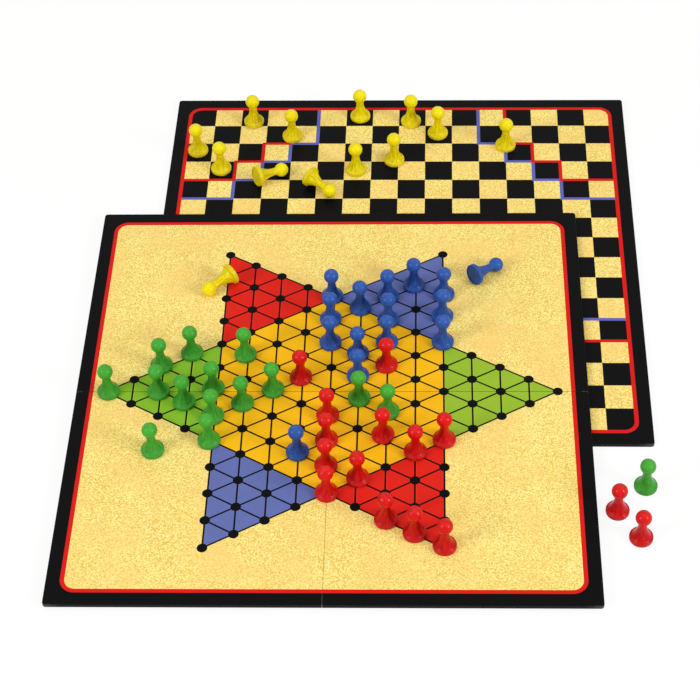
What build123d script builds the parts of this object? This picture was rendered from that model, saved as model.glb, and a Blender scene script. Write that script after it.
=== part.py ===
from build123d import *
import math
import os

# Halma set: a folding star board lying across a folding halma board, with their pawns.
# Millimetres. +X is to the right of the player, +Y away from them, +Z up.
# The origin is on the table, below the middle of the set.

# Folding board, the same for both
board_side = 319.4
board_thickness = 3.0
corner_radius = 2.0
edge_radius = 0.5
paper_thickness = 0.25
turn_in = 12.0
fold_gap = 0.4
slit_gap = 0.2
cloth_thickness = 0.3
cloth_half_width = 12.0
cloth_end_gap = 4.0
cloth_middle_gap = 2.0

# How far the halma board lies to the right of and behind the star board, and its turn in degrees
board_shift_x = 38.9
board_shift_y = 120.9
halma_turn = -0.32

# Star lattice: points stand in columns, half a row pitch apart from column to column
column_pitch = 17.65
row_pitch = 20.0
lattice_offset_x = -0.6

# Squares of the halma board
square_side = 18.78

# Pawn, turned about its own axis
pawn_height = 24.5
head_radius = 4.8
neck_radius = 2.6
flare_top = 13.5
base_radius = 7.1
rim_height = 3.2
rim_bevel = 0.35
rim_wall = 1.2
foot_recess = 0.5
lying_clearance = 0.05

half_side = board_side / 2
head_centre = pawn_height - head_radius
turn_cosine = math.cos(math.radians(halma_turn))
turn_sine = math.sin(math.radians(halma_turn))
halma_reach = (half_side - corner_radius) * (turn_cosine + abs(turn_sine)) + corner_radius
star_centre = ((half_side - halma_reach - board_shift_x) / 2, (half_side - halma_reach - board_shift_y) / 2)
halma_centre = (star_centre[0] + board_shift_x, star_centre[1] + board_shift_y)
star_top = 2 * board_thickness
halma_top = board_thickness

# Pawns that stand on the star board, as column and row counted from its middle point
star_places = {
    "green": [
        (-7.84, -0.04), (-6.08, 1.05), (-6.07, -0.04), (-5.03, 1.57), (-5.12, -0.47), (-4.13, 0.08), (-4.06, -1.04),
        (-4.11, -2.01), (-3.1, 1.5), (-3.06, -0.52), (-2.02, 0.04), (1.03, -0.31), (2.05, -0.85), (-6.02, -2.38),
    ],
    "blue": [
        (-1.03, -2.46), (-0.08, 4.05), (-0.1, 3.03), (-0.07, 2.01), (0.97, 3.53), (0.94, 1.53), (0.96, 0.6),
        (1.97, 4.03), (2, 2.99), (1.97, 2.03), (2.92, 4.54), (4.02, 4.12), (3.97, 3.15), (3.97, 2.03),
    ],
    "red": [
        (-1.06, 0.55), (-0.05, -1.01), (-0.05, -1.98), (-0.03, -2.98), (0.03, -4.01), (1.07, -3.46), (1.97, 1.06),
        (1.89, -1.79), (3.01, -2.45), (4, -1.97), (2.04, -5), (3, -5.48), (3.99, -5.94),
    ],
}
# Yellow pawns on the halma board, as squares to the right and back from its middle
halma_places = [
    (-7.52, 5.56), (-6.57, 4.56), (-5.52, 7.19), (-4.01, 6.36), (-1.55, 4.5),
    (-1.48, 7.49), (-0.15, 5.03), (0.45, 7.19), (1.47, 6.52), (4, 5.84),
]
# Pawns that lie on their side: place of the base, counted as above, and where the head points, in degrees
star_fallen = {"blue": ((5.11, 4.67), 39.0), "yellow": ((-3.79, 4.82), -141.0)}
halma_fallen = [((-5.2, 3.75), 30.0), ((-3.26, 3.81), -41.0)]
# Pawns on the table, measured from the star board's right edge and its front fold
table_green = (30.1, -70.3)
table_red = [(12.2, -88.7), (24.6, -108.1)]


def panel_plan(side_x, side_y, inset):
    # One of the four panels from above, drawn in from the board's outer edges by inset
    gap_x = fold_gap if side_y > 0 else slit_gap
    width = half_side - inset - gap_x / 2
    depth = half_side - inset - fold_gap / 2
    middle = (side_x * (gap_x + width) / 2, side_y * (fold_gap + depth) / 2)
    plan = Pos(*middle) * Rectangle(width, depth)
    if inset < corner_radius:
        outer_corner = plan.vertices().sort_by(lambda v: side_x * v.X + side_y * v.Y)[-1]
        plan = fillet(outer_corner, corner_radius - inset)
    return plan


def hinge_cloths(folds_on_top):
    # Strips glued across the folds: the two front folds on one face, the rear fold on the other
    top = board_thickness - paper_thickness - cloth_thickness
    front_z, rear_z = (top, paper_thickness) if folds_on_top else (paper_thickness, top)
    length = half_side - cloth_end_gap - cloth_middle_gap
    reach = cloth_middle_gap + length / 2
    centred_low = (Align.CENTER, Align.CENTER, Align.MIN)
    front = Box(length, 2 * cloth_half_width, cloth_thickness, align=centred_low)
    rear = Box(2 * cloth_half_width, length, cloth_thickness, align=centred_low)
    return {
        "left_hinge_cloth": Pos(-reach, 0, front_z) * front,
        "right_hinge_cloth": Pos(reach, 0, front_z) * front,
        "centre_hinge_cloth": Pos(0, reach, rear_z) * rear,
    }


def is_outer(edge):
    middle = edge.center()
    return max(abs(middle.X), abs(middle.Y)) > half_side - corner_radius


def folding_board(folds_on_top):
    # Each panel is a greyboard core let in for the hinge cloth, a printed sheet that wraps over
    # the outer edges and turns in below, and a lining that covers the rest of the underside
    pieces = hinge_cloths(folds_on_top)
    cloths = list(pieces.values())
    for depth_name, side_y in (("rear", 1), ("front", -1)):
        for width_name, side_x in (("left", -1), ("right", 1)):
            panel = f"{depth_name}_{width_name}"
            block = extrude(panel_plan(side_x, side_y, 0), board_thickness)
            level_edges = block.edges().filter_by(Axis.Z, reverse=True)
            block = fillet(level_edges.filter_by(is_outer), edge_radius)
            core_plan = panel_plan(side_x, side_y, paper_thickness)
            core = Pos(0, 0, paper_thickness) * extrude(core_plan, board_thickness - 2 * paper_thickness)
            lining = extrude(panel_plan(side_x, side_y, turn_in), paper_thickness)
            pieces[f"{panel}_print"] = block - core - lining
            pieces[f"{panel}_lining"] = lining
            pieces[f"{panel}_core"] = core - cloths
    return pieces


def pawn():
    # Turned shape: bevelled rim with a shallow recess below it, flare up to the neck, and a ball for the head
    bevel = base_radius - rim_bevel
    foot_radius = base_radius - rim_wall
    rise, run = flare_top - rim_height, bevel - neck_radius
    flare_radius = (rise**2 + run**2) / (2 * run)
    half_turn = math.asin(rise / flare_radius) / 2
    flare_middle = (
        neck_radius + flare_radius * (1 - math.cos(half_turn)),
        flare_top - flare_radius * math.sin(half_turn),
    )
    head_join = head_centre - math.sqrt(head_radius**2 - neck_radius**2)
    with BuildPart() as turned:
        with BuildSketch(Plane.XZ):
            with BuildLine():
                Polyline(
                    (0, foot_recess), (foot_radius, foot_recess), (foot_radius, 0), (bevel, 0),
                    (base_radius, rim_bevel), (base_radius, rim_height - rim_bevel), (bevel, rim_height),
                )
                ThreePointArc((bevel, rim_height), flare_middle, (neck_radius, flare_top))
                Line((neck_radius, flare_top), (neck_radius, head_join))
                ThreePointArc((neck_radius, head_join), (head_radius, head_centre), (0, pawn_height))
                Line((0, pawn_height), (0, foot_recess))
            make_face()
        revolve(axis=Axis.Z)
    return turned.part


def lying(place, heading, surface):
    # A fallen pawn touches the board with its rim and its head, so its axis dips towards the head
    rim_shoulder = rim_height - rim_bevel
    to_head = head_centre - rim_shoulder
    dip = math.atan2(base_radius, to_head) - math.asin(head_radius / math.hypot(base_radius, to_head))
    height = head_radius + head_centre * math.sin(dip) + lying_clearance
    return Pos(*place, surface + height) * Rot(0, 0, heading) * Rot(0, 90 + math.degrees(dip), 0) * pawn()


def standing(place, surface):
    return Pos(*place, surface) * pawn()


def on_lattice(column, row):
    x = lattice_offset_x + column * column_pitch
    return star_centre[0] + x, star_centre[1] + row * row_pitch


def on_squares(across, back):
    x, y = across * square_side, back * square_side
    return (
        halma_centre[0] + x * turn_cosine - y * turn_sine,
        halma_centre[1] + x * turn_sine + y * turn_cosine,
    )


def beside_star_board(out, back):
    return star_centre[0] + half_side + out, star_centre[1] + back


nodes = {}
for name, piece in folding_board(folds_on_top=False).items():
    nodes[f"halma_{name}"] = Pos(*halma_centre, 0) * Rot(0, 0, halma_turn) * piece
for name, piece in folding_board(folds_on_top=True).items():
    nodes[f"star_{name}"] = Pos(*star_centre, board_thickness) * piece

for colour, places in star_places.items():
    pawns = [standing(on_lattice(*place), star_top) for place in places]
    nodes[f"{colour}_pawns"] = Compound(children=pawns)
nodes["yellow_pawns"] = Compound(children=[standing(on_squares(*place), halma_top) for place in halma_places])

for colour, (place, heading) in star_fallen.items():
    nodes[f"star_fallen_{colour}_pawn"] = lying(on_lattice(*place), heading, star_top)
for number, (place, heading) in enumerate(halma_fallen, 1):
    nodes[f"halma_fallen_yellow_pawn_{number}"] = lying(on_squares(*place), heading, halma_top)
nodes["table_green_pawn"] = standing(beside_star_board(*table_green), 0)
for number, place in enumerate(table_red, 1):
    nodes[f"table_red_pawn_{number}"] = standing(beside_star_board(*place), 0)

os.makedirs("parts", exist_ok=True)
for name, shape in nodes.items():
    export_step(shape, f"parts/{name}.step")
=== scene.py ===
# Halma set: a folding star board lying on a folding checkered board, with turned plastic pawns.
# Lengths in the dictionaries are millimetres, angles are degrees and colours are sRGB bytes.
import math
import bpy
import numpy as np
from mathutils import Matrix, Quaternion, Vector


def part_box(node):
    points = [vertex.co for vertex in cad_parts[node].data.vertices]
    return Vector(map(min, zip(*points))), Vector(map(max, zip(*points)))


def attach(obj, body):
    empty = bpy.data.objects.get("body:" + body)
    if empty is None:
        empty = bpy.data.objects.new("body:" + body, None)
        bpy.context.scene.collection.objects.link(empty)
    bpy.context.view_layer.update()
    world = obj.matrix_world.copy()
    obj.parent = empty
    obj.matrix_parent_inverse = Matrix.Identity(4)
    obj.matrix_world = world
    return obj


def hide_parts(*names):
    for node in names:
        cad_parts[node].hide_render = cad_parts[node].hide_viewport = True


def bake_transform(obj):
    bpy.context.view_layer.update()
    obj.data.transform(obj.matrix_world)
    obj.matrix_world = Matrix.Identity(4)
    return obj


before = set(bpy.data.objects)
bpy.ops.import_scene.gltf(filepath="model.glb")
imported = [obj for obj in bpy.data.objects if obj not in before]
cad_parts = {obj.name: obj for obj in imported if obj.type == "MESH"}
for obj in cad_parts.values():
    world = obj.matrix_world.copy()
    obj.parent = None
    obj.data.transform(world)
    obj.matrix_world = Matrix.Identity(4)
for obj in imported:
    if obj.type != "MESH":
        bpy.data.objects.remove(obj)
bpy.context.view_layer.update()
scene = bpy.context.scene
scene.view_settings.view_transform = "Standard"
mm = 0.001


def paint(red, green, blue):
    # sRGB bytes to the linear colour that a shader socket takes
    share = np.array([red, green, blue]) / 255
    linear = np.where(share <= 0.04045, share / 12.92, ((share + 0.055) / 1.055) ** 2.4)
    return (*linear.tolist(), 1.0)


# Camera
cameraSetup = {
    "place": (41.16, -823.2, 890.18),
    "aim": (2.22, -29.12, 0.0),
    "roll": -2.154,
    "lens": 96.545,
    "sensor": 36.0,
    "shift": (-0.0259, 0.014),
}


def makeCamera(setup):
    data = bpy.data.cameras.new("camera")
    data.lens = setup["lens"]
    data.sensor_width = setup["sensor"]
    data.shift_x, data.shift_y = setup["shift"]
    camera = bpy.data.objects.new("camera", data)
    place = Vector(setup["place"]) * mm
    look = (Vector(setup["aim"]) * mm - place).to_track_quat("-Z", "Y")
    camera.location = place
    camera.rotation_mode = "QUATERNION"
    camera.rotation_quaternion = look @ Quaternion((0, 0, 1), math.radians(setup["roll"]))
    scene.collection.objects.link(camera)
    return camera


bpy.context.scene.camera = makeCamera(cameraSetup)
print("camera set")


# Node trees, written as plain arithmetic on wires
def plug(tree, source, entry):
    if isinstance(source, Wire):
        tree.links.new(source.socket, entry)
    else:
        entry.default_value = source


class Wire:
    # A number, colour or vector that runs through a node tree
    def __init__(self, tree, socket):
        self.tree = tree
        self.socket = socket

    def math(self, operation, *terms, clamp=False):
        node = self.tree.nodes.new("ShaderNodeMath")
        node.operation = operation
        node.use_clamp = clamp
        for entry, term in zip(node.inputs, (self, *terms)):
            plug(self.tree, term, entry)
        return Wire(self.tree, node.outputs[0])

    def __add__(self, other):
        return self.math("ADD", other)

    def __sub__(self, other):
        return self.math("SUBTRACT", other)

    def __mul__(self, other):
        return self.math("MULTIPLY", other)

    def __truediv__(self, other):
        return self.math("DIVIDE", other)

    def __neg__(self):
        return self.math("MULTIPLY", -1.0)

    def __abs__(self):
        return self.math("ABSOLUTE")

    def atLeast(self, other):
        return self.math("MAXIMUM", other)

    def atMost(self, other):
        return self.math("MINIMUM", other)

    def nearest(self):
        return self.math("ROUND")

    def rootOfSquares(self, other):
        # Square root of self squared plus other squared
        return (self * self + other * other).math("SQRT")

    def below(self, limit, soft=0.1):
        # 1 below the limit and 0 above it, with a step that is soft wide
        return self.math("MULTIPLY_ADD", -1.0 / soft, limit / soft + 0.5, clamp=True)

    def above(self, limit, soft=0.1):
        return self.math("MULTIPLY_ADD", 1.0 / soft, 0.5 - limit / soft, clamp=True)

    def kept(self):
        # Clamped to 0 and 1
        return self.math("ADD", 0.0, clamp=True)


def mixed(share, first, second, way="MIX"):
    # Colour that goes from first to second as share goes from 0 to 1
    tree = share.tree
    node = tree.nodes.new("ShaderNodeMix")
    node.data_type = "RGBA"
    node.blend_type = way
    plug(tree, share, node.inputs[0])
    plug(tree, first, node.inputs[6])
    plug(tree, second, node.inputs[7])
    return Wire(tree, node.outputs[2])


def grain(point, scale, detail=2.0, roughness=0.5, twist=0.0):
    # Noise from 0 to 1 around a half; scale is in waves per unit of point
    node = point.tree.nodes.new("ShaderNodeTexNoise")
    plug(point.tree, point, node.inputs["Vector"])
    node.inputs["Scale"].default_value = scale
    node.inputs["Detail"].default_value = detail
    node.inputs["Roughness"].default_value = roughness
    node.inputs["Distortion"].default_value = twist
    return Wire(point.tree, node.outputs["Fac"])


def mapped(point, location=(0, 0, 0), turn=(0, 0, 0), scale=(1, 1, 1)):
    # Point scaled, turned and then moved
    node = point.tree.nodes.new("ShaderNodeMapping")
    plug(point.tree, point, node.inputs["Vector"])
    node.inputs["Location"].default_value = location
    node.inputs["Rotation"].default_value = turn
    node.inputs["Scale"].default_value = scale
    return Wire(point.tree, node.outputs[0])


def split(point):
    node = point.tree.nodes.new("ShaderNodeSeparateXYZ")
    plug(point.tree, point, node.inputs[0])
    return [Wire(point.tree, socket) for socket in node.outputs]


def newGroup(name, inputs, outputs):
    # A node group with named sockets: its tree, its inputs as wires and its output node
    tree = bpy.data.node_groups.new(name, "ShaderNodeTree")
    for way, sockets in (("INPUT", inputs), ("OUTPUT", outputs)):
        for label, kind in sockets.items():
            tree.interface.new_socket(label, in_out=way, socket_type="NodeSocket" + kind)
    start = tree.nodes.new("NodeGroupInput")
    end = tree.nodes.new("NodeGroupOutput")
    return tree, [Wire(tree, start.outputs[label]) for label in inputs], end


def placed(tree, group, **values):
    # A group set into a tree: its outputs by name
    node = tree.nodes.new("ShaderNodeGroup")
    node.node_tree = group
    for label, value in values.items():
        plug(tree, value, node.inputs[label])
    return {socket.name: Wire(tree, socket) for socket in node.outputs}


def newMaterial(name, roughness, specular):
    material = bpy.data.materials.new(name)
    material.use_nodes = True
    tree = material.node_tree
    tree.nodes.clear()
    shader = tree.nodes.new("ShaderNodeBsdfPrincipled")
    shader.inputs["Roughness"].default_value = roughness
    shader.inputs["Specular IOR Level"].default_value = specular
    output = tree.nodes.new("ShaderNodeOutputMaterial")
    tree.links.new(shader.outputs[0], output.inputs["Surface"])
    return material, tree, shader


def finishSurface(tree, shader, colour, height, roughness=None):
    # Colour into the shader, height in millimetres into its normal
    plug(tree, colour, shader.inputs["Base Color"])
    if roughness is not None:
        plug(tree, roughness, shader.inputs["Roughness"])
    bump = tree.nodes.new("ShaderNodeBump")
    bump.inputs["Distance"].default_value = mm
    plug(tree, height, bump.inputs["Height"])
    tree.links.new(bump.outputs[0], shader.inputs["Normal"])


def objectPoint(tree, middle=(0, 0, 0), turn=0.0):
    # Object coordinates in millimetres, measured from middle and turned back by the piece's own turn
    node = tree.nodes.new("ShaderNodeTexCoord")
    point = Wire(tree, node.outputs["Object"])
    away = Matrix.Rotation(-turn, 3, "Z") @ -Vector(middle) / mm
    return mapped(point, location=away, turn=(0, 0, -turn), scale=(1 / mm,) * 3)


# Effects that several finishes share
def makeRoundedSquare():
    # Distance to a square with round corners, negative inside it:
    # length of max(|p| - half + corner, 0), plus min(max of the same two, 0), minus corner
    tree, (x, y, half, corner), end = newGroup(
        "roundedSquare",
        {"X": "Float", "Y": "Float", "Half": "Float", "Corner": "Float"},
        {"Distance": "Float"},
    )
    across = abs(x) - half + corner
    back = abs(y) - half + corner
    outside = across.atLeast(0.0).rootOfSquares(back.atLeast(0.0))
    inside = across.atLeast(back).atMost(0.0)
    plug(tree, outside + inside - corner, end.inputs["Distance"])
    return tree


def makeRubbedEdge():
    # Share of a surface that handling has rubbed bare, in from an edge:
    # 1 where the distance is under the reach, made uneven by noise
    tree, (distance, point, reach), end = newGroup(
        "rubbedEdge",
        {"Distance": "Float", "Point": "Vector", "Reach": "Float"},
        {"Mask": "Float"},
    )
    uneven = grain(point, scale=0.35, detail=4.0, roughness=0.65) - 0.5
    limit = reach * (uneven * 2.4 + 0.8)
    plug(tree, ((limit - distance) / (reach * 0.5)).kept(), end.inputs["Mask"])
    return tree


def makePaperGrain():
    # Fibres of a paper or card surface: fine noise over a slow unevenness
    tree, (point,), end = newGroup("paperGrain", {"Point": "Vector"}, {"Tone": "Float", "Height": "Float"})
    fine = grain(point, scale=2.6, detail=3.0, roughness=0.6)
    slow = grain(point, scale=0.06, detail=2.0)
    plug(tree, fine * 0.6 + slow * 0.4, end.inputs["Tone"])
    plug(tree, fine * 0.012, end.inputs["Height"])
    return tree


roundedSquare = makeRoundedSquare()
rubbedEdge = makeRubbedEdge()
paperGrain = makePaperGrain()
print("shared effects made")


def newMesh(name, points, faces, material):
    mesh = bpy.data.meshes.new(name)
    mesh.from_pydata(points.tolist(), [], faces)
    mesh.validate()
    mesh.update()
    mesh.materials.append(material)
    piece = bpy.data.objects.new(name, mesh)
    scene.collection.objects.link(piece)
    return piece


# Printed pictures
sandLook = {
    "low": (224, 186, 92),
    "middle": (245, 222, 123),
    "high": (252, 241, 160),
    "warm": (247, 208, 122),
    "speckles": 9.0,
    "blotches": 0.4,
    "wash": 0.8,
    "warmShare": 0.7,
}
inkColours = {
    "black": (12, 12, 13),
    "edgeBlack": (18, 18, 19),
    "redLine": (214, 32, 28),
    "gold": (247, 192, 27),
    "green": (150, 190, 54),
    "leaf": (134, 190, 50),
    "red": (219, 40, 30),
    "blue": (99, 114, 181),
    "blueLine": (96, 104, 184),
    "board": (116, 111, 104),
    "palePrint": (255, 226, 96),
    "unevenTint": (252, 224, 190),
    "paperTint": (110, 106, 104),
}
inkSoft = 0.12  # width over which the edge of a printed line fades
frameLine = {"corner": 8.0, "width": 2.6}
starPattern = {
    "columnPitch": 17.65,
    "rowPitch": 20.0,
    "offset": -0.6,
    "reach": 4.0,
    "line": 1.12,
    "dot": 3.15,
    "dotSoft": 0.15,
    "dotMargin": 0.4,
    "cellSoft": 0.01,
    "hairline": {"place": 0.72, "half": 0.14, "soft": 0.1},
    "paleShare": 0.05,
    "paleInArms": 0.3,
    "unevenShare": 0.3,
}
campPattern = {
    "square": 18.78,
    "squares": 16,
    "line": 2.4,
    "shift": 1.2,
    "red": ((4, 2), (3, 3), (2, 4)),
    "blue": ((5, 2), (4, 3), (3, 4), (2, 5)),
}


def ink(name):
    return paint(*inkColours[name])


def makeSandPrint():
    # Speckled sand: fine grain, weak blotches and a slow wash, then a warmer tone in places
    tree, (point,), end = newGroup("sandPrint", {"Point": "Vector"}, {"Colour": "Color"})
    fine = grain(point, scale=1.1, detail=2.0, roughness=0.6, twist=0.3) - 0.5
    blotch = grain(point, scale=0.14, detail=1.0) - 0.5
    wash = grain(point, scale=0.022, detail=2.0) - 0.5
    tone = fine * sandLook["speckles"] + blotch * sandLook["blotches"] + wash * sandLook["wash"]
    light = mixed(tone.kept(), paint(*sandLook["middle"]), paint(*sandLook["high"]))
    sand = mixed((-tone).kept(), light, paint(*sandLook["low"]))
    warm = grain(mapped(point, location=(310, 90, 0)), scale=0.035, detail=4.0).above(0.58, 0.3)
    sand = mixed(warm * sandLook["warmShare"], sand, paint(*sandLook["warm"]))
    plug(tree, sand, end.inputs["Colour"])
    return tree


def makeStarPrint():
    # Star lattice. Column c and row r count from the middle. Lines stand where c, r + c/2 or r - c/2 is
    # whole, and dots where columns and rows meet. The star joins two triangles, each with three sides at
    # reach. Pale is a hairline to the right of each upright line, where the colours don't meet the black
    tree, (x, y), end = newGroup(
        "starPrint",
        {"X": "Float", "Y": "Float"},
        dict.fromkeys(("Star", "Green", "Blue", "Red", "Ink", "Pale"), "Float"),
    )
    pattern = starPattern
    reach = pattern["reach"]
    slantPitch = pattern["rowPitch"] * math.cos(math.atan2(pattern["rowPitch"] / 2, pattern["columnPitch"]))
    column = (x - pattern["offset"]) / pattern["columnPitch"]
    row = y / pattern["rowPitch"]
    rising = row - column * 0.5
    falling = row + column * 0.5
    upright = (column - column.nearest()) * pattern["columnPitch"]
    slants = abs(rising - rising.nearest()).atMost(abs(falling - falling.nearest())) * slantPitch
    toLine = abs(upright).atMost(slants)

    def toDot(even):
        # Distance to the nearest point of the even columns, or of the odd ones half a row further
        side, half = (column, row) if even else (column - 1.0, row - 0.5)
        across = (side * 0.5 - (side * 0.5).nearest()) * (2 * pattern["columnPitch"])
        back = (half - half.nearest()) * pattern["rowPitch"]
        return across.rootOfSquares(back)

    dots = toDot(True).atMost(toDot(False))
    rightward = (-column).atLeast(falling).atLeast(-rising) - reach
    leftward = column.atLeast(rising).atLeast(-falling) - reach
    edge = rightward.atMost(leftward) * slantPitch
    lineMask = toLine.below(pattern["line"] / 2, inkSoft) * edge.below(pattern["line"] / 2, inkSoft)
    dotEdge = edge.below(pattern["dot"] + pattern["dotMargin"], pattern["dotSoft"])
    dotMask = dots.below(pattern["dot"], pattern["dotSoft"]) * dotEdge
    hairline = pattern["hairline"]
    pale = abs(upright - hairline["place"]).below(hairline["half"], hairline["soft"])
    plug(tree, edge.below(0.0), end.inputs["Star"])
    plug(tree, abs(column).above(reach, pattern["cellSoft"]), end.inputs["Green"])
    plug(tree, abs(falling).above(reach, pattern["cellSoft"]), end.inputs["Blue"])
    plug(tree, abs(rising).above(reach, pattern["cellSoft"]), end.inputs["Red"])
    plug(tree, lineMask.atLeast(dotMask), end.inputs["Ink"])
    plug(tree, pale * edge.below(0.0), end.inputs["Pale"])
    return tree


def makeCampPrint():
    # Squares and camps. Square numbers i and j count from the left and the back, and i + j even is black.
    # A camp's edge is where the least of max(across - a, back - b) over its steps (a, b) is 0
    tree, (x, y), end = newGroup(
        "campPrint",
        {"X": "Float", "Y": "Float"},
        {"Black": "Float", "RedLine": "Float", "BlueLine": "Float"},
    )
    side = campPattern["square"]
    half = campPattern["squares"] / 2 * side

    def bend(value):
        # Distance to the nearest square edge, negative in every other square
        turn = (value / (2 * side) + 0.25).math("FRACT")
        return (abs(turn - 0.5) - 0.25) * (2 * side)

    across = bend(x + half)
    back = bend(-y + half)
    rowBlack = back.above(0.0, inkSoft)
    columnBlack = across.above(0.0, inkSoft)
    black = abs(rowBlack + columnBlack - 1.0)
    fromSide = -abs(x) + half
    shifted = fromSide + x.below(0.0) * campPattern["shift"]
    fromBack = -abs(y) + half
    for label, colour in (("RedLine", "red"), ("BlueLine", "blue")):
        edge = None
        for a, b in campPattern[colour]:
            box = (shifted - a * side).atLeast(fromBack - b * side)
            edge = box if edge is None else edge.atMost(box)
        plug(tree, abs(edge).below(campPattern["line"] / 2, inkSoft), end.inputs[label])
    plug(tree, black, end.inputs["Black"])
    return tree


sandPrint = makeSandPrint()
starPrint = makeStarPrint()
campPrint = makeCampPrint()


def starPicture(tree, x, y, point):
    ground = placed(tree, sandPrint, Point=point)["Colour"]
    star = placed(tree, starPrint, X=x, Y=y)
    arm = mixed(x.above(0.0), ink("leaf"), ink("green"))
    cells = mixed(star["Green"], ink("gold"), arm)
    cells = mixed(star["Blue"], cells, ink("blue"))
    cells = mixed(star["Red"], cells, ink("red"))
    moved = mapped(point, location=(90, 50, 0))
    uneven = grain(moved, scale=0.11, detail=4.0, roughness=0.6).above(0.5, 0.5)
    cells = mixed(uneven * starPattern["unevenShare"], cells, ink("unevenTint"), way="MULTIPLY")
    pale = star["Pale"] * (star["Green"] * starPattern["paleInArms"] + starPattern["paleShare"])
    cells = mixed(pale, cells, ink("palePrint"))
    picture = mixed(star["Star"], ground, cells)
    return mixed(star["Ink"], picture, ink("black"))


def campPicture(tree, x, y, point):
    ground = placed(tree, sandPrint, Point=mapped(point, location=(700, 0, 0)))["Colour"]
    camps = placed(tree, campPrint, X=x, Y=y)
    picture = mixed(camps["Black"], ground, ink("black"))
    picture = mixed(camps["BlueLine"], picture, ink("blueLine"))
    return mixed(camps["RedLine"], picture, ink("redLine"))


# Boards
boardBuild = {
    "side": 319.4,
    "corner": 2.0,
    "edge": 0.5,
    "thickness": 3.0,
    "paper": 0.25,
    "pictureDepth": 0.3,
    "foldGap": 0.4,
    "slitGap": 0.2,
    "lipReach": {"centre": 0.38, "left": 0.32, "right": 0.32},
}
boards = {
    "star": {"picture": starPicture, "turn": 0.0, "lineHalf": 150.15},
    "halma": {"picture": campPicture, "turn": math.radians(-0.32), "lineHalf": 149.9},
}
panels = ["rear_left", "rear_right", "front_left", "front_right"]
# The two panels that each fold joins, and the axis that runs across it: 0 for x, 1 for y
folds = {
    "left": {"panels": ("front_left", "rear_left"), "across": 1},
    "right": {"panels": ("front_right", "rear_right"), "across": 1},
    "centre": {"panels": ("rear_left", "rear_right"), "across": 0},
}
# How matt the printed paper is, where it is rubbed down to the board and how much of the board shows there
printLook = {
    "roughness": 0.36,
    "fibreRoughness": 0.12,
    "wornRoughness": 0.4,
    "fibreShare": 0.08,
    "rimReach": 0.4,
    "rimShare": 0.04,
    "cornerShare": 0.3,
    "cornerStart": 6.0,
    "cornerSoft": 8.0,
    "slitReach": 0.14,
    "slitShare": 0.1,
    "slitBorderShare": 0.85,
    "wornDepth": 0.05,
}


def boardBox(board):
    # Lowest and highest corner over the board's printed sheets
    corners = np.array([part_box(f"{board}_{panel}_print") for panel in panels])
    return corners[:, 0].min(axis=0), corners[:, 1].max(axis=0)


def boardTurn(board):
    return np.array(Matrix.Rotation(boards[board]["turn"], 3, "Z"))


def makePrintFinish(board, setup):
    # Picture inside the red line and black border outside it, on top only: the sides and the turned-in
    # paper are plain black. Wear stands at the outer edge, most at its corners, and along the slit
    low, high = boardBox(board)
    middle = ((low[0] + high[0]) / 2, (low[1] + high[1]) / 2, low[2])
    material, tree, shader = newMaterial(f"{board}_print", roughness=0.42, specular=0.045)
    point = objectPoint(tree, middle, setup["turn"])
    x, y, z = split(point)

    def fromSquare(half, corner):
        return placed(tree, roundedSquare, X=x, Y=y, Half=half, Corner=corner)["Distance"]

    def rubbed(distance, reach):
        return placed(tree, rubbedEdge, Distance=distance, Point=point, Reach=reach)["Mask"]

    top = z.above(boardBuild["thickness"] - boardBuild["pictureDepth"], 0.05)
    line = fromSquare(setup["lineHalf"], frameLine["corner"])
    border = line.above(0.0)
    picture = mixed(border, setup["picture"](tree, x, y, point), ink("black"))
    picture = mixed(abs(line).below(frameLine["width"] / 2, inkSoft), picture, ink("redLine"))
    colour = mixed(top, ink("edgeBlack"), picture)
    fibres = placed(tree, paperGrain, Point=point)
    colour = mixed(fibres["Tone"] * printLook["fibreShare"], colour, ink("paperTint"), way="SOFT_LIGHT")
    half = boardBuild["side"] / 2
    corner = abs(x).atMost(abs(y)).above(half - printLook["cornerStart"], printLook["cornerSoft"])
    rimWear = rubbed(-fromSquare(half, boardBuild["corner"]), printLook["rimReach"])
    rimWear = rimWear * (corner * printLook["cornerShare"] + printLook["rimShare"])
    slitWear = rubbed(abs(x) - boardBuild["slitGap"] / 2, printLook["slitReach"]) * y.below(0.0)
    slitWear = slitWear * (border * printLook["slitBorderShare"] + printLook["slitShare"])
    worn = rimWear.atLeast(slitWear)
    colour = mixed(worn, colour, ink("board"))
    roughness = worn * printLook["wornRoughness"] + fibres["Tone"] * printLook["fibreRoughness"]
    height = fibres["Height"] - worn * printLook["wornDepth"]
    finishSurface(tree, shader, colour, height, roughness + printLook["roughness"])
    return material


coreLook = {
    "dark": (128, 121, 110),
    "pale": (176, 169, 155),
    "fleck": (98, 96, 100),
    "fleckShare": 0.5,
    "layers": 7.0,
    "relief": 0.09,
}
liningLook = {
    "dark": (22, 22, 24),
    "pale": (36, 35, 37),
    "scuff": (78, 76, 76),
    "scuffShare": 0.25,
    "relief": 1.6,
    "roughness": 0.55,
    "scuffRoughness": 0.15,
}
clothLook = {"dark": (20, 20, 22), "pale": (48, 47, 50), "thread": 0.45, "relief": 0.04}


def makeCoreFinish():
    # Greyboard: layers of pulp seen at the cut faces, drawn out along the sheet
    material, tree, shader = newMaterial("greyboard", roughness=0.92, specular=0.2)
    point = objectPoint(tree)
    drawnOut = mapped(point, scale=(0.5, 0.5, coreLook["layers"]))
    layers = grain(drawnOut, scale=1.0, detail=4.0, roughness=0.65)
    flecks = grain(point, scale=3.1, detail=1.0).above(0.64, 0.1)
    colour = mixed(layers.above(0.5, 0.5), paint(*coreLook["dark"]), paint(*coreLook["pale"]))
    colour = mixed(flecks * coreLook["fleckShare"], colour, paint(*coreLook["fleck"]))
    finishSurface(tree, shader, colour, layers * coreLook["relief"])
    return material


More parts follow.
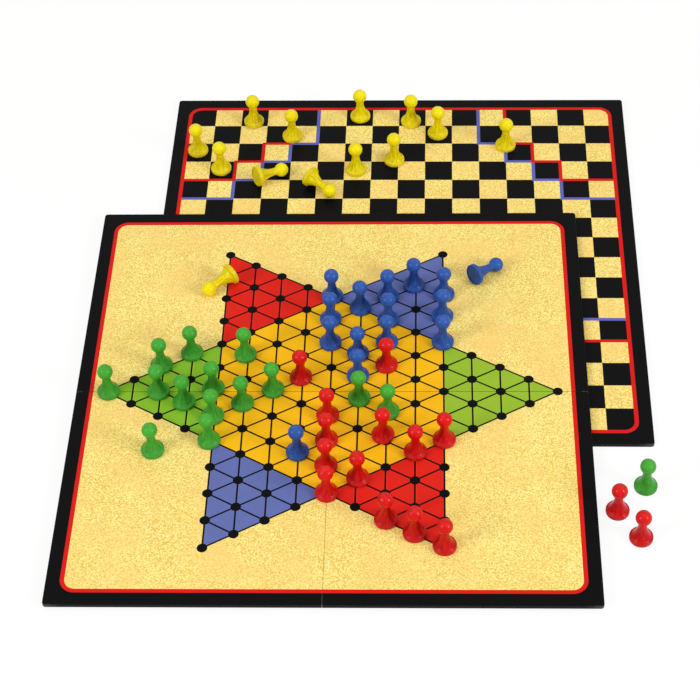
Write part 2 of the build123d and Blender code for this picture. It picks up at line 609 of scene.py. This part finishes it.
def makeLiningFinish():
    # Black lining paper: fibres, with a paler bloom where it has slid over tables
    material, tree, shader = newMaterial("black_lining", roughness=0.6, specular=0.2)
    point = objectPoint(tree)
    fibres = placed(tree, paperGrain, Point=point)
    drawnOut = mapped(point, turn=(0, 0, 0.4), scale=(0.05, 0.9, 1.0))
    scuffs = grain(drawnOut, scale=1.0, detail=3.0).above(0.66, 0.16)
    colour = mixed(fibres["Tone"], paint(*liningLook["dark"]), paint(*liningLook["pale"]))
    colour = mixed(scuffs * liningLook["scuffShare"], colour, paint(*liningLook["scuff"]))
    roughness = scuffs * liningLook["scuffRoughness"] + liningLook["roughness"]
    finishSurface(tree, shader, colour, fibres["Height"] * liningLook["relief"], roughness)
    return material


def makeClothFinish():
    # Book cloth: threads over and under, as the product of two sine waves on the strip's own map
    material, tree, shader = newMaterial("hinge_cloth", roughness=0.8, specular=0.25)
    node = tree.nodes.new("ShaderNodeUVMap")
    along, across = split(Wire(tree, node.outputs[0]))[:2]
    waves = 2 * math.pi / clothLook["thread"]
    threads = (along * waves).math("SINE") * (across * waves).math("SINE") * 0.5 + 0.5
    colour = mixed(threads, paint(*clothLook["dark"]), paint(*clothLook["pale"]))
    finishSurface(tree, shader, colour, threads * clothLook["relief"])
    return material


coreFinish = makeCoreFinish()
liningFinish = makeLiningFinish()
printFinishes = {board: makePrintFinish(board, setup) for board, setup in boards.items()}
for board in boards:
    finishes = {"core": coreFinish, "print": printFinishes[board], "lining": liningFinish}
    for panel in panels:
        for part, finish in finishes.items():
            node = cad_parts[f"{board}_{panel}_{part}"]
            node.data.materials.clear()
            node.data.materials.append(finish)


def stripFaces(levels, rows, columns):
    # Both faces of a two-level grid and the wall round its border, as index rows
    number = np.arange(levels * rows * columns).reshape(levels, rows, columns)
    low = number[0]
    under = np.stack([low[:-1, :-1], low[1:, :-1], low[1:, 1:], low[:-1, 1:]], axis=-1)
    over = under[..., ::-1] + number[1, 0, 0]
    sides = [number[:, :, 0], number[:, -1, 1:], number[:, ::-1, -1][:, 1:], number[:, 0, ::-1][:, 1:]]
    border = np.concatenate(sides, axis=1)
    wall = np.stack([border[0, :-1], border[0, 1:], border[1, 1:], border[1, :-1]], axis=-1)
    return np.concatenate([under.reshape(-1, 4), over.reshape(-1, 4), wall])


def lipPath(build):
    # Inner and outer face of the paper along a fold: from the board's middle out, then down round its edge
    angle = np.linspace(math.pi / 2, 0, 6)
    bend = np.array([build["side"] / 2 - build["edge"], build["thickness"] - build["edge"]])
    path = np.empty((2, 1 + len(angle), 2))
    for level, radius in enumerate((build["edge"] - build["paper"], build["edge"])):
        path[level, 0] = build["foldGap"] / 2, bend[1] + radius
        path[level, 1:] = bend + radius * np.stack([np.cos(angle), np.sin(angle)], axis=1)
    return path


def makeLip(board, place):
    # The printed paper stands over the cut at a fold by a hair: a thin strip along the rear panel's edge,
    # or along the left one's at the centre fold
    panel = "rear_right" if place == "right" else "rear_left"
    acrossFold = folds[place]["across"]
    low, high = boardBox(board)
    side = -1 if place == "left" else 1
    gap = boardBuild["foldGap"] / 2
    reach = boardBuild["lipReach"][place]
    path = lipPath(boardBuild)
    grid = np.empty((*path.shape[:2], 2, 3))
    grid[..., acrossFold] = (gap - reach, gap) if acrossFold else (-gap, reach - gap)
    grid[..., 1 - acrossFold] = side * path[..., :1]
    grid[..., 2] = path[..., 1:]
    faces = stripFaces(*grid.shape[:3])
    if acrossFold and side > 0:
        faces = faces[:, ::-1]
    middle = np.array([*((low + high) / 2)[:2], low[2]])
    points = grid.reshape(-1, 3) @ boardTurn(board).T * mm + middle
    piece = newMesh(f"{board}_{place}_lip", points, faces.tolist(), printFinishes[board])
    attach(piece, f"{board}_{panel}")


makeLip("star", "centre")
makeLip("halma", "centre")
makeLip("halma", "left")
makeLip("halma", "right")
print("boards finished")

# Hinge cloths
clothBuild = {
    "length": 153.7,
    "width": 24.0,
    "slack": 0.01,
    "steps": 36,
    "bunch": 3.0,
    "columns": 3,
    "foldHalf": 0.2,
}
clothFinish = makeClothFinish()


def stripGrid(build, acrossFold, thickness):
    # A flat strip about its own middle, as levels, rows over the fold, columns along it and places.
    # Row t from -1 to 1 goes to sign(t) |t| ** bunch, so that rows stand closest where the strip bends
    step = np.linspace(-1, 1, build["steps"] + 1)
    spread = np.sign(step) * np.abs(step) ** build["bunch"]
    ends = np.linspace(-1, 1, build["columns"])
    grid = np.zeros((2, len(step), len(ends), 3))
    grid[..., acrossFold] = (spread * (build["width"] / 2 - build["slack"]) * mm)[:, None]
    grid[..., 1 - acrossFold] = ends * (build["length"] / 2 - build["slack"]) * mm
    grid[..., 2] = np.array([-0.5, 0.5])[:, None, None] * (thickness - 2 * build["slack"] * mm)
    return grid


def clothMesh(name, grid, turn, middle, acrossFold):
    # Closed strip from a two-level grid, turned and moved to its place, with its own x and y as its map
    faces = stripFaces(*grid.shape[:3])
    if not acrossFold:
        faces = faces[:, ::-1]
    own = grid.reshape(-1, 3)
    cloth = newMesh(name, own @ turn.T + middle, faces.tolist(), clothFinish)
    corners = np.empty(len(cloth.data.loops), int)
    cloth.data.loops.foreach_get("vertex_index", corners)
    layer = cloth.data.uv_layers.new(name="stripMap")
    layer.data.foreach_set("uv", (own[corners, :2] / mm).ravel())
    return cloth


def makeCloth(board, place, parted):
    # A flat strip across the fold between its two panels, or one parted along the fold, each half with its
    # own panel
    name = f"{board}_{place}_hinge_cloth"
    acrossFold = folds[place]["across"]
    low, high = (np.array(corner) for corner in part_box(name))
    grid = stripGrid(clothBuild, acrossFold, high[2] - low[2])
    turn = boardTurn(board)
    middle = (low + high) / 2
    bodies = [f"{board}_{panel}" for panel in folds[place]["panels"]]
    if parted:
        half = clothBuild["steps"] // 2
        for body, rows in zip(bodies, (grid[:, :half + 1], grid[:, half:])):
            cloth = clothMesh(f"{body}_half_cloth", rows, turn, middle, acrossFold)
            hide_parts(name)
            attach(cloth, body)
    else:
        cloth = clothMesh(name + "_strip", grid, turn, middle, acrossFold)
        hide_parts(name)
        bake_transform(cloth)


# As one strip, the halma board's centre cloth would be thrown aside when its fold is shut, so it is parted
for board in boards:
    for place in folds:
        makeCloth(board, place, parted=(board, place) == ("halma", "centre"))
print("hinge cloths made")

# Pawns
pawnBuild = {
    "height": 24.5,
    "headRadius": 4.8,
    "neckRadius": 2.6,
    "neckFillet": 0.8,
    "flareTop": 13.5,
    "baseRadius": 7.1,
    "rimHeight": 3.2,
    "rimRound": 0.35,
    "footRound": 0.8,
    "shoulderRound": 1.0,
    "rimWall": 1.2,
    "footRecess": 0.5,
    "around": 56,
    "sharpAngle": 50,
}
# Tone of the plastic from dark at 0 to light at 1 and what changes it, painted shade on the flare and foot
# among them, the colours at both ends, then what stands up from the surface, and how matt it is
plasticLook = {
    "tone": 0.74,
    "footTop": 15.0,
    "paintedFootShade": 0.28,
    "flareStreaks": 1.3,
    "streaks": 0.3,
    "mottling": 0.4,
    "pawnTint": 0.12,
    "darkest": 0.7,
    "lightest": 1.06,
    "lift": 6,
    "rubbedShare": 0.1,
    "rubbedPale": 0.4,
    "seamHalf": 0.08,
    "seamHeight": 0.02,
    "streakHeight": 0.07,
    "scratchDepth": 0.003,
    "roughness": 0.21,
    "scratchRoughness": 0.06,
    "rubbedRoughness": 0.08,
    "mottleRoughness": 0.08,
}
plasticColours = {
    "green": (64, 162, 48),
    "blue": (42, 83, 166),
    "red": (212, 15, 15),
    "yellow": (255, 220, 4),
}
headings = {
    "star_fallen_blue_pawn": 39.0,
    "star_fallen_yellow_pawn": -141.0,
    "halma_fallen_yellow_pawn_1": 30.0,
    "halma_fallen_yellow_pawn_2": -41.0,
}
standingPawns = [
    "green_pawns", "blue_pawns", "red_pawns", "yellow_pawns",
    "table_green_pawn", "table_red_pawn_1", "table_red_pawn_2",
]


def arc(centre, radius, first, last, count):
    # Points on a circle from angle first to angle last, in degrees, as (radius, height)
    angle = np.radians(np.linspace(first, last, count))
    return np.stack([centre[0] + radius * np.cos(angle), centre[1] + radius * np.sin(angle)], axis=1)


def pawnProfile(build):
    # Outline from the middle of the recess under the foot to the top of the head: foot, rounded rim,
    # flare as an arc that meets the neck upright, straight neck, fillet and ball
    headCentre = build["height"] - build["headRadius"]
    recess = build["footRecess"]
    footRound = build["footRound"]
    shoulderRound = build["shoulderRound"]
    shoulder = build["baseRadius"] - shoulderRound
    foot = build["baseRadius"] - build["rimWall"]
    rise = build["flareTop"] - build["rimHeight"]
    run = shoulder - build["neckRadius"]
    flare = (rise**2 + run**2) / (2 * run)
    flareTurn = math.degrees(math.asin(rise / flare))
    fillet = build["neckFillet"]
    filletDrop = math.sqrt((build["headRadius"] + fillet) ** 2 - (build["neckRadius"] + fillet) ** 2)
    headTurn = math.degrees(math.atan2(filletDrop, build["neckRadius"] + fillet))
    outline = [
        [(0, recess), (foot * 0.5, recess), (foot, recess), (foot, 0)],
        arc((build["baseRadius"] - footRound, footRound), footRound, -90, 0, 5),
        arc((shoulder, build["rimHeight"] - shoulderRound), shoulderRound, 0, 90, 6),
        arc((build["neckRadius"] + flare, build["flareTop"]), flare, 180 + flareTurn, 180, 15)[1:],
        arc((build["neckRadius"] + fillet, headCentre - filletDrop), fillet, 180, 180 - headTurn, 6),
        arc((0, headCentre), build["headRadius"], -headTurn, 90, 19)[1:-1],
        [(0, build["height"])],
    ]
    return np.concatenate([np.array(part, float) for part in outline])


def turnedBody(profile, around):
    # Radius and height of the profile carried round the axis: points, and faces as index rows
    angle = np.linspace(0, 2 * math.pi, around, endpoint=False)
    rings = profile[1:-1]
    radius = rings[:, :1]
    height = rings[:, 1:] * np.ones(around)
    ringPoints = np.stack([radius * np.cos(angle), radius * np.sin(angle), height], axis=-1)
    points = np.concatenate([[[0, 0, profile[0, 1]]], ringPoints.reshape(-1, 3), [[0, 0, profile[-1, 1]]]])
    number = 1 + np.arange(len(rings) * around).reshape(len(rings), around)
    following = np.roll(number, -1, axis=1)
    quads = np.stack([number[:-1], following[:-1], following[1:], number[1:]], axis=-1).reshape(-1, 4)
    below = np.stack([following[0], number[0], np.zeros(around, int)], axis=-1)
    above = np.stack([number[-1], following[-1], np.full(around, len(points) - 1)], axis=-1)
    return points, quads, np.concatenate([below, above])


pawnPoints, pawnQuads, pawnFans = turnedBody(pawnProfile(pawnBuild), pawnBuild["around"])


def headTops(node):
    # Where a node's pawns stand, in metres: the places of its highest points, and the level of their feet
    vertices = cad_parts[node].data.vertices
    points = np.empty(3 * len(vertices))
    vertices.foreach_get("co", points)
    points = points.reshape(-1, 3)
    top = points[:, 2].max()
    tops = points[points[:, 2] > top - 0.001 * mm][:, :2]
    return np.unique(np.round(tops, 5), axis=0), top - pawnBuild["height"] * mm


def lyingTurn(heading):
    # A fallen pawn rests on its rim and its head, so its axis dips towards the head
    reach = pawnBuild["height"] - pawnBuild["headRadius"] - pawnBuild["rimHeight"] + pawnBuild["rimRound"]
    span = math.hypot(pawnBuild["baseRadius"], reach)
    dip = math.atan2(pawnBuild["baseRadius"], reach) - math.asin(pawnBuild["headRadius"] / span)
    return Matrix.Rotation(math.radians(heading), 4, "Z") @ Matrix.Rotation(math.pi / 2 + dip, 4, "Y")


def makePawns(node, turns, places, finish, slot):
    # One piece for a node: each pawn turned, then moved to its place. Its own coordinates and a tint go
    # with it as attributes
    count = len(pawnPoints)
    own = []
    shapes = []
    faces = []
    for index, (turn, place) in enumerate(zip(turns, places)):
        turn = np.array(turn)[:3, :3]
        own.append(pawnPoints)
        shapes.append(pawnPoints @ turn.T * mm + place)
        faces += (pawnQuads + index * count).tolist() + (pawnFans + index * count).tolist()
    piece = newMesh(node + "_turned", np.concatenate(shapes), faces, finish)
    piece.data.shade_smooth()
    piece.data.set_sharp_from_angle(angle=math.radians(pawnBuild["sharpAngle"]))
    local = piece.data.attributes.new("ownPlace", "FLOAT_VECTOR", "POINT")
    local.data.foreach_set("vector", np.concatenate(own).astype(np.float32).ravel())
    tint = piece.data.attributes.new("pawnTint", "FLOAT", "POINT")
    shades = np.repeat(chance.random(len(shapes)), count)
    tint.data.foreach_set("value", shades.astype(np.float32))
    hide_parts(node)
    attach(piece, node)


def makeMouldedSkinAndShade(look):
    # Moulded plastic on the pawn's own coordinates: parting line where own y is 0, darker flow streaks that
    # run up the flare, fine scratches, rubbed places on the head's top and the rim, and painted shade that
    # darkens the flare and foot
    tree, (own, tint), end = newGroup(
        "mouldedSkinAndShade",
        {"Own": "Vector", "Tint": "Float"},
        dict.fromkeys(("Tone", "Rubbed", "Height", "Roughness"), "Float"),
    )
    x, y, z = split(own)
    radius = x.rootOfSquares(y).atLeast(0.1)
    node = tree.nodes.new("ShaderNodeCombineXYZ")
    for entry, value in zip(node.inputs, (x / radius, y / radius, z * 0.06 + tint * 40.0)):
        plug(tree, value, entry)
    streaks = grain(Wire(tree, node.outputs[0]), scale=3.2, detail=3.0, roughness=0.6)
    seam = abs(y).below(look["seamHalf"], 0.1)
    node = tree.nodes.new("ShaderNodeVectorMath")
    plug(tree, own, node.inputs[0])
    plug(tree, tint * 90.0, node.inputs[1])
    shifted = Wire(tree, node.outputs[0])
    drawnOut = mapped(shifted, turn=(0.5, 0.3, 0.8), scale=(0.4, 4.0, 0.4))
    scratches = grain(drawnOut, scale=1.0, detail=3.0).above(0.62, 0.08)
    mottle = grain(shifted, scale=0.4, detail=3.0)
    rim = abs(z - 2.0).below(1.6, 1.0) * radius.above(6.9, 0.4)
    crown = z.above(pawnBuild["height"] - 0.6, 0.8)
    rubbed = rim.atLeast(crown) * mottle.above(0.5, 0.25)
    # The flare and foot below the head: painted shade falls here, and the flow streaks are stronger
    foot = z.below(look["footTop"], 4.0)
    flare = foot * z.above(3.6, 1.0)
    uneven = (streaks - 0.5) * (flare * look["flareStreaks"] + look["streaks"])
    uneven = uneven + (mottle - 0.5) * look["mottling"] + (tint - 0.5) * look["pawnTint"]
    height = seam * look["seamHeight"] + streaks * look["streakHeight"] - scratches * look["scratchDepth"]
    roughness = scratches * look["scratchRoughness"] + rubbed * look["rubbedRoughness"]
    # Painted shade: the tone drops over the flare and foot, below the head, standing in for the shade that
    # falls there
    plug(tree, uneven - foot * look["paintedFootShade"] + look["tone"], end.inputs["Tone"])
    plug(tree, rubbed, end.inputs["Rubbed"])
    plug(tree, height, end.inputs["Height"])
    plug(tree, roughness + mottle * look["mottleRoughness"], end.inputs["Roughness"])
    return tree


mouldedSkinAndShade = makeMouldedSkinAndShade(plasticLook)


def makePlastic(name, colour, look):
    material, tree, shader = newMaterial(name, roughness=0.3, specular=0.15)

    def carried(label, output):
        # A value that makePawns puts on the piece's points
        node = tree.nodes.new("ShaderNodeAttribute")
        node.attribute_name = label
        return Wire(tree, node.outputs[output])

    skin = placed(tree, mouldedSkinAndShade, Own=carried("ownPlace", "Vector"), Tint=carried("pawnTint", "Fac"))
    dark = paint(*[value * look["darkest"] for value in colour])
    light = paint(*[min(255, value * look["lightest"] + look["lift"]) for value in colour])
    bare = paint(*[value + (255 - value) * look["rubbedPale"] for value in colour])
    # The dark and light copies of the colour carry the painted shade of the flare and foot as well as the
    # plastic's own streaks, mottling and tint
    shade = mixed(skin["Tone"].kept(), dark, light)
    shade = mixed(skin["Rubbed"] * look["rubbedShare"], shade, bare)
    finishSurface(tree, shader, shade, skin["Height"], skin["Roughness"] + look["roughness"])
    return material


chance = np.random.default_rng(12)
plastics = {
    name: makePlastic(f"{name}_plastic", colour, plasticLook)
    for name, colour in plasticColours.items()
}


def colourOf(node):
    return next(colour for colour in plasticColours if colour in node.split("_"))


for node in standingPawns:
    tops, floorLevel = headTops(node)
    places = [np.array([*top, floorLevel]) for top in tops]
    turns = [Matrix.Rotation(angle, 4, "Z") for angle in chance.random(len(places)) * 2 * math.pi]
    makePawns(node, turns, places, plastics[colourOf(node)], f"{colourOf(node)}_plastic")
for node, heading in headings.items():
    turn = lyingTurn(heading) @ Matrix.Rotation(chance.random() * 2 * math.pi, 4, "Z")
    cloud = pawnPoints @ np.array(turn)[:3, :3].T * mm
    low, high = (np.array(corner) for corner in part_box(node))
    place = (low + high) / 2 - (cloud.min(axis=0) + cloud.max(axis=0)) / 2
    makePawns(node, [turn], [place], plastics[colourOf(node)], f"{colourOf(node)}_plastic")
print("pawns made")

# Studio
studio = {
    "floorHalf": 12.0,
    "floorDrop": 0.0001,
    "floorShare": 0.14,
    "floorBounce": (232, 232, 232),
    "sky": (1.0, 0.955, 0.91),
    "zenith": 0.96,
    "lampDistance": 2.6,
    "lampSize": 1.0,
    "lamps": {
        "leftLamp": {"way": (-0.714, -0.469, 0.519), "power": 26.5},
        "rightLamp": {"way": (0.770, -0.426, 0.474), "power": 34.0},
    },
}


def seenDirectly(tree):
    # 1 for camera, mirror and glass rays, which see the white backdrop
    node = tree.nodes.new("ShaderNodeLightPath")
    rays = [Wire(tree, node.outputs[f"Is {kind} Ray"]) for kind in ("Camera", "Glossy", "Transmission")]
    return rays[0].atLeast(rays[1]).atLeast(rays[2])


def makeFloor(setup):
    # To the eye a glowing white floor that takes soft shadows with floorShare of its light. The other rays
    # find a plain pale floor
    half = setup["floorHalf"]
    mesh = bpy.data.meshes.new("floor")
    corners = [(-half, -half, 0), (half, -half, 0), (half, half, 0), (-half, half, 0)]
    mesh.from_pydata([(x, y, -setup["floorDrop"]) for x, y, z in corners], [], [(0, 1, 2, 3)])
    floor = bpy.data.objects.new("floor", mesh)
    scene.collection.objects.link(floor)
    material = bpy.data.materials.new("floor")
    material.use_nodes = True
    tree = material.node_tree
    tree.nodes.clear()
    seen = seenDirectly(tree)
    diffuse = tree.nodes.new("ShaderNodeBsdfDiffuse")
    shown = (*[setup["floorShare"]] * 3, 1.0)
    plug(tree, mixed(seen, paint(*setup["floorBounce"]), shown), diffuse.inputs["Color"])
    glow = tree.nodes.new("ShaderNodeEmission")
    plug(tree, seen * (1 - setup["floorShare"]), glow.inputs["Strength"])
    total = tree.nodes.new("ShaderNodeAddShader")
    tree.links.new(diffuse.outputs[0], total.inputs[0])
    tree.links.new(glow.outputs[0], total.inputs[1])
    output = tree.nodes.new("ShaderNodeOutputMaterial")
    tree.links.new(total.outputs[0], output.inputs["Surface"])
    mesh.materials.append(material)


def makeWorld(setup):
    # Sky that is brightest overhead: its strength is zenith times the height of the ray's direction
    world = bpy.data.worlds.new("studio")
    world.use_nodes = True
    scene.world = world
    tree = world.node_tree
    tree.nodes.clear()
    seen = seenDirectly(tree)
    direction = tree.nodes.new("ShaderNodeTexCoord")
    height = split(Wire(tree, direction.outputs["Generated"]))[2].atLeast(0.0)
    light = tree.nodes.new("ShaderNodeBackground")
    plug(tree, mixed(seen, (*setup["sky"], 1.0), (1.0, 1.0, 1.0, 1.0)), light.inputs["Color"])
    plug(tree, seen + (-seen + 1.0) * height * setup["zenith"], light.inputs["Strength"])
    output = tree.nodes.new("ShaderNodeOutputWorld")
    tree.links.new(light.outputs[0], output.inputs["Surface"])


def makeLamp(name, lamp, setup):
    data = bpy.data.lights.new(name, "AREA")
    data.shape = "DISK"
    data.size = setup["lampSize"]
    data.energy = lamp["power"]
    light = bpy.data.objects.new(name, data)
    way = Vector(lamp["way"]).normalized()
    light.location = way * setup["lampDistance"]
    light.rotation_mode = "QUATERNION"
    light.rotation_quaternion = way.to_track_quat("Z", "Y")
    scene.collection.objects.link(light)


makeFloor(studio)
makeWorld(studio)
for name, lamp in studio["lamps"].items():
    makeLamp(name, lamp, studio)
print("studio made")
